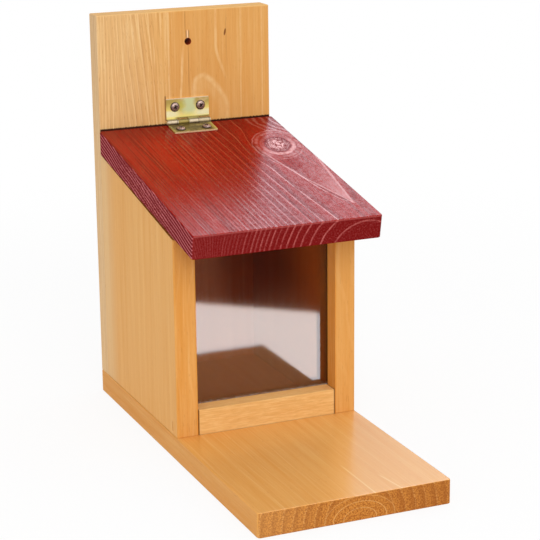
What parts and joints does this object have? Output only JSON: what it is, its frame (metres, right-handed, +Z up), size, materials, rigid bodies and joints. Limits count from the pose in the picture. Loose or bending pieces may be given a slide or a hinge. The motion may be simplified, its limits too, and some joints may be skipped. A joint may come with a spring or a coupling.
{
  "type": "squirrel feeder box",
  "caption": "Wooden squirrel feeder: a tall back board and a base with a landing platform carry a box with a clear front pane under a sloping hinged lid.",
  "frame": {"origin": "on the underside of the base, on the centre plane, in line with the back board's front face", "axes": "+Z up; the front and its platform face -Y, so +Y points into the wall or tree; +X to the right of someone who looks at the front"},
  "size_m": [0.142, 0.32, 0.3],
  "materials": {
    "natural_pine": "clear oiled, satin",
    "red_stained_pine": "translucent red stain, satin",
    "clear_acrylic": "clear, polished",
    "yellow_zinc": "yellow passivated zinc",
    "bright_zinc": "bright zinc plated"
  },
  "bodies": {
    "feeder_body": {"back_board": "natural_pine", "base_board": "natural_pine", "left_side_panel": "natural_pine", "right_side_panel": "natural_pine", "front_sill": "natural_pine", "front_pane": "clear_acrylic", "hinge_upper_leaf": "yellow_zinc", "hinge_pin": "yellow_zinc", "upper_leaf_screws": "bright_zinc", "left_sill_staple": "bright_zinc", "right_sill_staple": "bright_zinc", "left_panel_base_staples": "bright_zinc", "right_panel_base_staples": "bright_zinc", "back_board_foot_staples": "bright_zinc", "left_panel_back_staples": "bright_zinc", "right_panel_back_staples": "bright_zinc"},
    "lid": {"lid_board": "red_stained_pine", "hinge_lower_leaf": "yellow_zinc", "lid_leaf_screws": "bright_zinc"}
  },
  "joints": [
    {"name": "lid_hinge", "type": "hinge", "parent": "feeder_body", "child": "lid", "pos_m": [0, -0.0023, 0.21481], "axis": [-1, 0, 0], "range_deg": [0, 80]}
  ]
}
